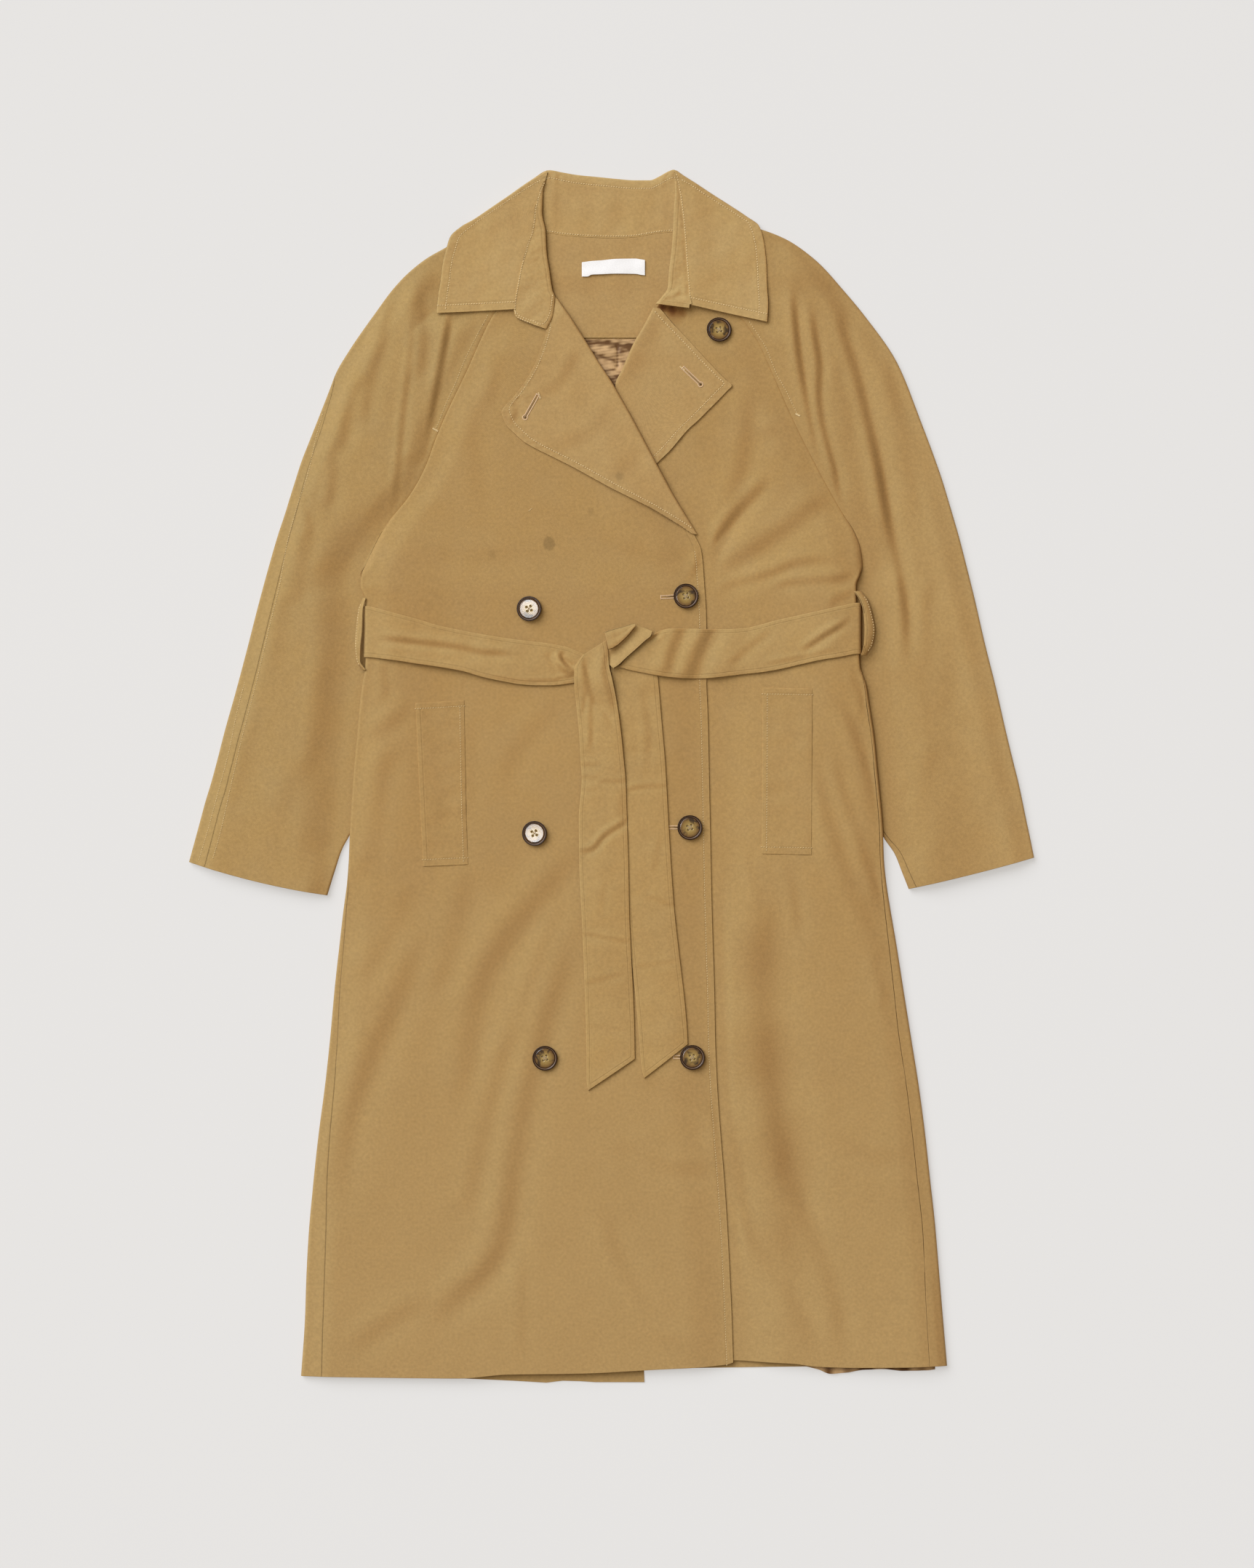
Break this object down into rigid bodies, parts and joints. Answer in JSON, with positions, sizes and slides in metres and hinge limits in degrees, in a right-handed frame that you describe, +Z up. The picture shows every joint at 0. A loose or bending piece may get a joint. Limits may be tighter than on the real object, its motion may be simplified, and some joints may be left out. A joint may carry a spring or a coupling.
{
  "type": "trench coat",
  "caption": "Double-breasted belted trench coat with raglan sleeves, notched lapels and welt pockets, laid flat, buttoned and tied.",
  "frame": {"origin": "centre of the bounding box, on the surface that the coat lies on", "axes": "+Y from the hem towards the collar, +X towards the wearer's left sleeve, +Z up from the surface to the front of the coat"},
  "size_m": [0.8704, 1.25, 0.0179],
  "materials": {
    "gabardine": "khaki cotton twill, matt",
    "satin_lining": "satin weave, soft sheen",
    "label_tape": "plain off-white woven tape",
    "horn_button": "mottled dark horn, polished"
  },
  "bodies": {
    "root": {"back_right": "gabardine", "back_left": "gabardine", "front_right": "gabardine", "front_left": "gabardine", "sleeve_right_front": "gabardine", "sleeve_right_back": "gabardine", "sleeve_left_front": "gabardine", "sleeve_left_back": "gabardine", "lapel_right": "gabardine", "lapel_left": "gabardine", "collar_leaf_right": "gabardine", "collar_leaf_left": "gabardine", "collar_leaf_back": "gabardine", "collar_stand_right": "gabardine", "collar_stand_left": "gabardine", "collar_stand_back": "gabardine", "neck_facing": "gabardine", "pocket_welt_right": "gabardine", "pocket_welt_left": "gabardine", "belt_right": "gabardine", "belt_left": "gabardine", "belt_back": "gabardine", "belt_tail_upper": "gabardine", "belt_tail_lower": "gabardine", "belt_knot_lower": "gabardine", "belt_knot_upper": "gabardine", "belt_loop_right": "gabardine", "belt_loop_left": "gabardine", "lining_back": "satin_lining", "lining_hem": "satin_lining", "label": "label_tape", "button_neck": "horn_button", "button_front_1": "horn_button", "button_front_2": "horn_button", "button_front_3": "horn_button", "button_side_1": "horn_button", "button_side_2": "horn_button", "button_side_3": "horn_button"}
  },
  "joints": []
}
